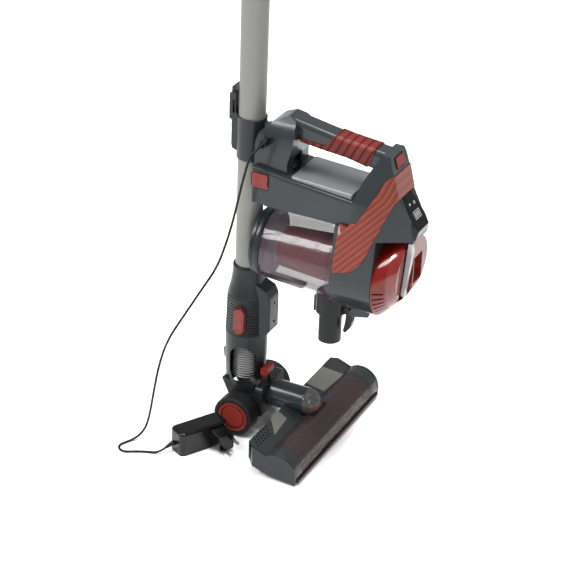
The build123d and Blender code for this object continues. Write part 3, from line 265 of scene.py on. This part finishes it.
def grip_material():
    """Soft red grip with slanting grooves, the grooves painted dark as painted shade."""
    m = Nodes("red_grip", 0.42)
    slant = m.along(Vector((0, 0.9, 0.45)).normalized())
    groove = stripes(m, slant, 0.0098, 0.16)
    base = m.mix(m.ramp(m.noise(40, 3), 0.3, 0.7), finish("96281f"), finish("a83429"))
    # Painted shade: the grooves are coloured dark red.
    m.colour(m.mix(groove, finish("4a0f0a"), base))
    m.bump(groove, 0.0008, 0.9)
    m.bump(m.noise(1800, 2), 0.00004, 0.5)
    return m


def brushed_material():
    """Silver panel with fine brushing across the unit."""
    m = Nodes("brushed_panel", 0.34, Metallic=0.4, Anisotropic=0.5)
    lines = m.noise(60, 4, (0.6, 40, 40))
    m.colour(m.mix(m.ramp(lines, 0.25, 0.75), finish("b6b9bc"), finish("cdd0d2")))
    m.roughness(m.ramp(lines, 0.2, 0.8, 0.28, 0.42))
    m.bump(lines, 0.00005, 0.4)
    return m


def wand_material():
    """Satin tube metal with faint lines along it."""
    m = Nodes("wand_metal", 0.42, Metallic=0.3)
    lines = m.noise(70, 3, (1, 1, 0.02))
    m.colour(m.mix(m.ramp(lines, 0.3, 0.7), finish("c2c3be"), finish("cfd0ca")))
    m.roughness(m.ramp(lines, 0.2, 0.8, 0.36, 0.48))
    m.bump(m.noise(1400, 2), FINE_GRAIN, 0.4)
    return m


def mesh_material():
    """Fine perforated red screen."""
    m = Nodes("mesh_screen", 0.5)
    rows = stripes(m, m.along((0, 1, 0)), 0.0016, 0.2)
    rings = stripes(m, m.along((0.5, 0, 1)), 0.0016, 0.2)
    holes = m.math("MULTIPLY", rows, rings)
    m.colour(m.mix(holes, finish("a5261a"), finish("ff6a4e")))
    m.bump(holes, 0.0003, 0.6)
    return m


def pleat_material():
    """Folded filter paper, painted darker in the folds as painted shade."""
    m = Nodes("pleated_paper", 0.8)
    fold = stripes(m, m.along((1, 0, 0.4)), 0.003, 0.3)
    # Painted shade: the folds are darker and the ridges lighter.
    m.colour(m.mix(fold, finish("b7af9c"), finish("ece5d3")))
    m.bump(fold, 0.0006, 0.8)
    return m


def tyre_material():
    """Dark rubber with shallow grooves round the tyre."""
    m = Nodes("tyre_rubber", 0.55)
    tread = stripes(m, m.along((1, 0, 0)), 0.004, 0.2)
    m.colour(m.mix(m.ramp(m.noise(60, 4), 0.3, 0.7), finish("161717"), finish("242525")))
    m.bump(tread, 0.0004, 0.6)
    m.bump(m.noise(1500, 3), 0.00006, 0.7)
    return m


def ribbed(name, hex_colour, direction, pitch, roughness, depth, duty, dark, **sockets):
    """Plastic with straight moulded ribs across a direction, the grooves painted darker by the factor dark as
    painted shade.
    """
    m = Nodes(name, roughness, **sockets)
    base = finish(hex_colour)
    ridge = stripes(m, m.along(Vector(direction).normalized()), pitch, duty)
    # Painted shade: the grooves are darkened by the factor dark.
    m.colour(m.mix(ridge, [c * dark for c in base], base))
    m.bump(ridge, depth, 0.8)
    m.bump(m.noise(2400, 2), FINE_GRAIN, 0.4)
    return m


def lens_material():
    """Clear dome whose lower half is copper red."""
    m = clear("clear_lens", "9a8f90", 0.35, 0.05)
    height = m.along((0, 0.35, 1), -0.0455)
    low = m.ramp(height, 0.0008, -0.0008)
    m.colour(m.mix(low, finish("a3a0a0"), finish("b9705c")))
    m.feed(m.shader.inputs["Alpha"], m.ramp(low, 0.0, 1.0, 0.35, 1.0))
    return m


def inside(m, corners):
    """1 inside a convex outline seen from above, given anticlockwise in millimetres, and 0 outside."""
    mask = None
    for (x0, y0), (x1, y1) in zip(corners, corners[1:] + corners[:1]):
        length = math.dist((x0, y0), (x1, y1))
        normal = ((y0 - y1) / length, (x1 - x0) / length, 0)
        depth = m.along(normal, -(normal[0] * x0 + normal[1] * y0) * MM)
        edge = m.ramp(depth, -0.0002, 0.0002)
        mask = edge if mask is None else m.math("MULTIPLY", mask, edge)
    return mask


def cover_material():
    """Glossy slate cover with two facets painted pale grey as painted highlights."""
    m = plastic("cover_gloss", "42494c", 0.18, coat=0.16)
    # Two facets of the same slate plastic, painted pale as painted highlights.
    left = inside(m, [(-84, 20), (-42, 23), (-38, 45), (-60, 38)])
    right = inside(m, [(50, 13), (106, 9), (92, 40), (40, 49)])
    highlit_facets = m.math("MAXIMUM", left, right)
    m.colour(m.mix(highlit_facets, m.mix(m.ramp(m.noise(22, 4), 0.3, 0.7), finish("3f4649"), finish("474f52")),
                   finish("a3a39a")))
    return m


MATERIALS = {
    "slate": plastic("slate_gloss", "444c50", 0.2, coat=0.14),
    "cover": cover_material(),
    "slate_satin": plastic("slate_satin", "394044", 0.3, coat=0.08),
    "black": plastic("black_plastic", "1b1d1f", 0.38),
    "charcoal": plastic("charcoal_plastic", "2d3234", 0.34, coat=0.05),
    "red": ribbed("red_ribbed", "c42a20", (0, 0.25, 1), 0.0026, 0.28, 0.0004, 0.2, 0.5, Coat_Weight=0.15),
    "plain_red": plastic("red_gloss", "b8261c", 0.28, coat=0.15),
    "hub_red": plastic("hub_coral", "d0503f", 0.3, coat=0.2),
    "bumper": plastic("bumper_dark_red", "4a0e0a", 0.3, coat=0.1),
    "deep_red": plastic("deep_red_gloss", "a81c13", 0.16, coat=0.35),
    "coral": stripe_material(),
    "grip": grip_material(),
    "silver": brushed_material(),
    "lever": plastic("lever_silver", "ffffff", 0.2, coat=0.5),
    "wand": wand_material(),
    "clear": clear("clear_window", "705a60", 0.42, 0.08),
    "lens": lens_material(),
    "cup": clear("clear_cup", "8a6f7c", 0.34, 0.12),
    "pink": clear("pink_cover", "b52c22", 0.93, 0.1),
    "display": plastic("display_gloss", "060607", 0.1, grain=0, coat=0.1),
    "hose": plastic("hose_grey", "55585a", 0.3),
    # The hose's grooves are painted almost black, as painted shade between the silver ribs.
    "hose_ribs": ribbed("hose_silver", "f4f5f4", (0, 0, 1), 0.0036, 0.22, 0.0004, 0.24, 0.04),
    "tyre": tyre_material(),
    "steel": plastic("steel", "c9cbcd", 0.3, Metallic=0.8),
    "pins": plastic("pin_metal", "e6e7e6", 0.18, Metallic=0.8),
    "cord": plastic("cord_rubber", "121213", 0.42),
    "adapter": plastic("adapter_gloss", "121314", 0.22, coat=0.12),
    "mesh": mesh_material(),
    "filter": pleat_material(),
    "bristle": plastic("bristle_red", "8f241b", 0.6),
    "circuit": plastic("circuit_green", "1f4a2c", 0.5),
    "cells": plastic("cell_sleeve", "2a4a6a", 0.35),
    "ivory": plastic("ivory_trim", "e4dfd0", 0.35),
    "white_print": plastic("printed_white", "ffffff", 0.5, grain=0),
}


def paint(obj, material):
    """Gives an object the named finish and no other."""
    obj.data.materials.clear()
    obj.data.materials.append(MATERIALS[material].material)


# ------------------------------------------------------------------ the CAD nodes as they are, with their finish
EDGE, FINE_EDGE = 0.0008, 0.0003    # bevel widths, in metres
SHARP_ANGLE = math.radians(32)


def soften(obj, width):
    """Rounds the sharp edges a little, so that they catch the light."""
    weld = obj.modifiers.new("weld", "WELD")
    weld.merge_threshold = 0.00002
    bevel = obj.modifiers.new("bevel", "BEVEL")
    bevel.width, bevel.segments = width, 2
    bevel.limit_method, bevel.angle_limit = "ANGLE", SHARP_ANGLE
    bevel.use_clamp_overlap = True
    bevel.harden_normals = False
    for polygon in obj.data.polygons:
        polygon.use_smooth = True
    smooth = obj.modifiers.new("normals", "WEIGHTED_NORMAL")
    smooth.keep_sharp = True


NODE_LOOK = {
    "head_base": "slate_satin", "head_cover": "cover", "brush_window": "clear", "end_caps": "slate",
    "bumper_strip": "bumper", "brush_bearings": "steel", "sole_glides": "charcoal", "head_motor": "steel",
    "drive_belt": "cord", "sole_rollers": "charcoal", "motor_pulley": "steel", "brush_core": "charcoal",
    "brush_bristles": "bristle", "yoke_frame": "charcoal", "swivel_barrel": "slate", "barrel_lens": "lens",
    "wheel_axles": "steel", "tyre_left": "tyre", "tyre_right": "tyre", "hub_left": "hub_red", "hub_right": "hub_red",
    "lock_pedal": "plain_red", "neck_shell_left": "charcoal", "neck_shell_right": "charcoal", "neck_hose": "hose",
    "connector_block": "charcoal", "tube_release": "red", "wand_tube": "wand", "dock_collar": "slate_satin",
    "accessory_clip": "slate_satin", "wand_socket": "charcoal", "body_shell_left": "slate",
    "body_shell_right": "slate", "handle_grip": "grip", "battery_cover": "silver", "battery_pack": "cells",
    "control_board": "circuit", "stripe_band": "coral", "display_panel": "display", "dc_jack": "black",
    "power_button": "red", "cup_release": "red", "dust_cup": "cup", "cup_lid": "slate_satin",
    "mesh_filter": "mesh", "pleated_filter": "filter", "inlet_nozzle": "black", "inlet_lever": "black",
    "suction_motor": "steel", "fan_wheel": "charcoal", "exhaust_cap": "deep_red", "cap_cover": "pink",
    "cap_lever": "lever", "exhaust_filter": "filter", "dc_plug": "adapter", "charger_cord": "cord",
    "adapter_body": "adapter", "adapter_relief": "cord", "plug_head": "adapter", "mains_pins": "pins",
}
FINE_NODES = {"mains_pins", "power_button", "cup_release", "cap_lever", "dc_plug", "accessory_clip", "display_panel",
              "head_cover", "exhaust_cap"}
for node_name, look in NODE_LOOK.items():
    paint(nodes[node_name], look)
    soften(nodes[node_name], FINE_EDGE if node_name in FINE_NODES else EDGE)


# ------------------------------------------------------------------ mesh helpers
def new_mesh(name, verts, faces, material, body, smooth=True):
    """A piece from its vertices and faces, riding on a body."""
    data = bpy.data.meshes.new(name)
    data.from_pydata([tuple(v) for v in verts], [], faces)
    data.update()
    clean = bmesh.new()
    clean.from_mesh(data)
    bmesh.ops.recalc_face_normals(clean, faces=clean.faces)
    clean.to_mesh(data)
    clean.free()
    for polygon in data.polygons:
        polygon.use_smooth = smooth
    obj = bpy.data.objects.new(name, data)
    bpy.context.scene.collection.objects.link(obj)
    paint(obj, material)
    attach(obj, body)


def rings_mesh(rings, closed_ends=True):
    """Vertices and faces of a skin over rings of equal point counts."""
    count = len(rings[0])
    verts = [point for ring in rings for point in ring]
    faces = []
    for i in range(len(rings) - 1):
        for j in range(count):
            k = (j + 1) % count
            faces.append((i * count + j, i * count + k, (i + 1) * count + k, (i + 1) * count + j))
    if closed_ends:
        faces.append(tuple(range(count)))
        faces.append(tuple(range((len(rings) - 1) * count, len(rings) * count)))
    return verts, faces


# ------------------------------------------------------------------ the charger cord
def make_cord():
    """The limp flex from the jack plug to the adapter, in place of the CAD's solid cord."""
    curve = bpy.data.curves.new("charger_flex", "CURVE")
    curve.dimensions = "3D"
    curve.bevel_depth, curve.bevel_resolution, curve.resolution_u = CORD_RADIUS, 5, 12
    curve.use_fill_caps = True
    spline = curve.splines.new("NURBS")
    spline.points.add(len(CORD_ROUTE) - 1)
    for point, place in zip(spline.points, CORD_ROUTE):
        point.co = (*place, 1)
    spline.order_u = 3
    spline.use_endpoint_u = True
    flex = bpy.data.objects.new("charger_flex", curve)
    bpy.context.scene.collection.objects.link(flex)
    flex.data.materials.append(MATERIALS["cord"].material)
    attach(flex, "charger")
    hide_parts("charger_cord")


make_cord()


# ------------------------------------------------------------------ detail pieces
CORNER_STEPS, RIM = 6, 0.3


def rounded_outline(width, height, radius):
    """Points round a rounded rectangle, anticlockwise, centred on zero."""
    points = []
    for cx, cy, start in ((1, 1, 0), (-1, 1, 90), (-1, -1, 180), (1, -1, 270)):
        for step in range(CORNER_STEPS + 1):
            angle = math.radians(start + 90 * step / CORNER_STEPS)
            points.append((cx * (width / 2 - radius) + radius * math.cos(angle),
                           cy * (height / 2 - radius) + radius * math.sin(angle)))
    return points


class Face:
    """A flat place on the object, in millimetres: its middle and its two directions."""

    def __init__(self, middle, across_dir, up_dir):
        self.middle = Vector(middle)
        self.u = Vector(across_dir).normalized()
        self.v = Vector(up_dir).normalized()
        self.n = self.u.cross(self.v)

    def at(self, u, v, out=0.0):
        return (self.middle + u * self.u + v * self.v + out * self.n) * MM

    def ring(self, points, out):
        return [self.at(u, v, out) for u, v in points]


def plate(name, face, width, height, radius, low, high, material, body, crown):
    """A raised plate with a rounded outline and softened rim."""
    outline = rounded_outline(width, height, radius)
    inner = rounded_outline(width - 2 * crown, height - 2 * crown, max(0.1, radius - crown))
    rings = [face.ring(outline, low), face.ring(outline, high - crown), face.ring(inner, high)]
    verts, faces = rings_mesh(rings)
    new_mesh(name, verts, faces, material, body, smooth=False)


def frame_ring(name, face, width, height, radius, band, low, high, material, body):
    """A thin raised frame round an opening."""
    outer = rounded_outline(width + 2 * band, height + 2 * band, radius + band)
    inner = rounded_outline(width, height, radius)
    shrink_u, shrink_v = 1 - RIM / (width / 2 + band), 1 - RIM / (height / 2 + band)
    rings = [face.ring(outer, low), face.ring(outer, high - RIM),
             face.ring([(u * shrink_u, v * shrink_v) for u, v in outer], high),
             face.ring(inner, high), face.ring(inner, low), face.ring(outer, low)]
    verts, faces = rings_mesh(rings, closed_ends=False)
    new_mesh(name, verts, faces, material, body, smooth=False)


def turned(name, centre, axis, profile, material, body, steps=64):
    """A skin turned round an axis, from (along, radius) points in millimetres."""
    axis = Vector(axis).normalized()
    side = axis.orthogonal().normalized()
    other = axis.cross(side)
    rings = []
    for distance, radius in profile:
        rings.append([(Vector(centre) + axis * distance + radius * (math.cos(a) * side + math.sin(a) * other)) * MM
                      for a in (2 * math.pi * k / steps for k in range(steps))])
    verts, faces = rings_mesh(rings)
    new_mesh(name, verts, faces, material, body)


RIB_COUNT, RIB_LOW, RIB_PITCH, HOSE_R, HOSE_RIB_R = 15, 63.9, 3.6, 16.5, 18.6
# Radii, heights and steps of the black sheet inside the neck, which stands in for shade behind the window.
SHADE_SHEET_R, SHADE_SHEET_INNER_R, SHADE_SHEET_LOW, SHADE_SHEET_HIGH, SHADE_SHEET_STEPS = 24.3, 23.7, 60.5, 118.5, 24


def make_neck_details():
    """Ribs on the hose, a black sheet round its +X side standing in for the shade behind the window, the frame and
    ribs of the tube release, and the tube's collar.
    """
    ribs = []
    for rib in range(RIB_COUNT):
        z = RIB_LOW + rib * RIB_PITCH
        ribs += [(z, HOSE_R), (z + 0.5, HOSE_RIB_R), (z + 1.7, HOSE_RIB_R), (z + 2.2, HOSE_R)]
    turned("hose_ribs", (0, TUBE_Y, 0), UP, ribs, "hose_ribs", "neck")
    # A black sheet inside the neck: painted shade that keeps light from showing through the window.
    section = ((SHADE_SHEET_R, SHADE_SHEET_LOW), (SHADE_SHEET_INNER_R, SHADE_SHEET_LOW), (SHADE_SHEET_INNER_R, SHADE_SHEET_HIGH), (SHADE_SHEET_R, SHADE_SHEET_HIGH))
    shade_sheet = []
    for step in range(SHADE_SHEET_STEPS + 1):
        angle = math.radians(-100 + 200 * step / SHADE_SHEET_STEPS)
        shade_sheet.append([((r * math.cos(angle)) * MM, (TUBE_Y + r * math.sin(angle)) * MM, z * MM) for r, z in section])
    verts, faces = rings_mesh(shade_sheet)
    new_mesh("neck_shade_sheet", verts, faces, "black", "neck")
    frame_ring("release_frame", Face((-27.9, BUTTON_Y, BUTTON_Z), FRONT, UP), 17.4, 40.4, 8.6, 1.0, -3.2, 0.35,
               "charcoal", "neck")
    for rib in range(7):
        place = Face((-31.3, BUTTON_Y, BUTTON_Z - 9 + 3 * rib), FRONT, UP)
        plate(f"release_rib_{rib}", place, 9.5, 1.1, 0.5, -0.4, 0.35, "plain_red", "tube_release", 0.2)
    turned("tube_collar", (0, TUBE_Y, 231.2), UP, [(0, 17.9), (0, 20.2), (1.6, 20.0), (2.2, 18.6), (2.2, 17.7)],
           "black", "neck")


# Name, place across and up the display, width and height of its symbols: a battery outline, its bars, two marks
DISPLAY_MARKS = (("charge_left", -8, -6, 0.9, 9.6), ("charge_right", 8, -6, 0.9, 9.6),
                 ("charge_top", 0, -1.2, 16.9, 0.9), ("charge_low", 0, -10.8, 16.9, 0.9),
                 ("charge_bar_0", -4.6, -6, 2.6, 6.6), ("charge_bar_1", 0, -6, 2.6, 6.6),
                 ("charge_bar_2", 4.6, -6, 2.6, 6.6), ("mode_dot", -6.5, 9.5, 3.4, 3.0),
                 ("mode_bar", 5.5, 9.5, 5.0, 1.2), ("mode_line", 5.5, 7.2, 5.0, 1.2))


def make_hand_details():
    """The display's symbols and foot, two button frames, the jack's collar and a ring at the cup's wand end."""
    face = Face((0, *DISPLAY_AT), ACROSS, (0, *DISPLAY_RISE))
    for name, u, v, width, height in DISPLAY_MARKS:
        place = Face(face.at(u, v, DISPLAY_SKIN) / MM, face.u, face.v)
        plate(name, place, width, height, 0.3, -0.1, 0.16, "white_print", "hand_unit", 0.05)
    foot = Face((0, -132.1, 335.6), ACROSS, (0, -0.12, 1))
    plate("display_foot", foot, 37, 2.2, 0.6, -1.4, 1.0, "ivory", "hand_unit", 0.3)
    power = Face((0, *POWER_AT), ACROSS, (0, math.sin(POWER_TILT), math.cos(POWER_TILT)))
    frame_ring("power_frame", power, 24.4, 14.4, 2.6, 1.1, -1.0, 0.7, "black", "hand_unit")
    frame_ring("cup_release_frame", Face((-41, RELEASE_Y, RELEASE_Z), FRONT, UP), 23.4, 21.4, 3.6, 1.1, -1.0, 0.7,
               "black", "hand_unit")
    collar = [(-3, 7.4), (0.6, 7.4), (1.2, 6.9), (1.2, 5.6), (-3, 5.6)]
    turned("jack_collar", (-28.5, JACK_Y, JACK_Z), (-1, 0, 0), collar, "black", "hand_unit")
    ring = [(72, 46.4), (72, 47.3), (73, 47.9), (79, 47.3), (80.5, 46.6), (80.5, 45.6)]
    turned("cup_front_ring", (0, 0, CUP_Z), BACK, ring, "slate_satin", "hand_unit", 96)


def make_charger_details():
    """Black sleeves on the root half of the two mains pins."""
    long_way = Vector((math.cos(ADAPTER_TURN), math.sin(ADAPTER_TURN), 0))
    outward = Vector((math.sin(ADAPTER_TURN), -math.cos(ADAPTER_TURN), 0))
    middle = Vector((*ADAPTER_AT, 0)) + 20 * long_way + 15 * outward + Vector((0, 0, 16))
    for name, sign in (("pin_sleeve_a", 1), ("pin_sleeve_b", -1)):
        spread = 9.5 * sign
        place = middle + 22 * outward + spread * (math.cos(PIN_TURN) * long_way + math.sin(PIN_TURN) * Vector(UP))
        turned(name, place, outward, [(-0.2, 2.05), (0, 2.35), (9.6, 2.3), (10, 2.05)], "adapter", "charger", 32)


make_neck_details()
make_hand_details()
make_charger_details()


# ------------------------------------------------------------------ floor and light
FLOOR_HALF, FLOOR_CELLS = 6.0, 24
SKY_STRENGTH = 0.42
MIDDLE = (0, 0.03, 0.3)             # where the lights aim


def make_stage():
    """A pale floor 12 m wide, its mesh a grid of half-metre cells."""
    row = FLOOR_CELLS + 1
    verts = [(FLOOR_HALF * (i / FLOOR_CELLS - 0.5) * 2, FLOOR_HALF * (j / FLOOR_CELLS - 0.5) * 2, 0)
             for i in range(row) for j in range(row)]
    faces = [(i * row + j, (i + 1) * row + j, (i + 1) * row + j + 1, i * row + j + 1)
             for i in range(FLOOR_CELLS) for j in range(FLOOR_CELLS)]
    data = bpy.data.meshes.new("floor")
    data.from_pydata(verts, [], faces)
    floor = bpy.data.objects.new("floor", data)
    bpy.context.scene.collection.objects.link(floor)
    m = Nodes("studio_floor", 0.7)
    m.colour(m.mix(m.ramp(m.noise(3, 2), 0.3, 0.7), (0.9, 0.9, 0.9), (0.93, 0.93, 0.925)))
    floor.data.materials.append(m.material)


def softbox(name, place, target, width, height, watts):
    """A rectangular area light aimed at a target, in metres."""
    data = bpy.data.lights.new(name, "AREA")
    data.shape, data.size, data.size_y = "RECTANGLE", width, height
    data.energy = watts
    light = bpy.data.objects.new(name, data)
    light.location = place
    light.rotation_euler = (Vector(target) - Vector(place)).to_track_quat("-Z", "Y").to_euler()
    bpy.context.scene.collection.objects.link(light)


make_stage()
world = bpy.data.worlds.new("studio")
world.use_nodes = True
world.node_tree.nodes["Background"].inputs["Color"].default_value = (1, 1, 1, 1)
world.node_tree.nodes["Background"].inputs["Strength"].default_value = SKY_STRENGTH
bpy.context.scene.world = world
softbox("key", (-1.4, 1.6, 2.2), MIDDLE, 1.2, 1.2, 80)
softbox("top", (0.1, -0.2, 2.6), MIDDLE, 1.4, 1.4, 90)
softbox("front", (-1.8, -1.6, 1.2), MIDDLE, 0.5, 1.6, 20)
bpy.context.scene.view_settings.view_transform = "Standard"
bpy.context.scene.view_settings.look = "None"
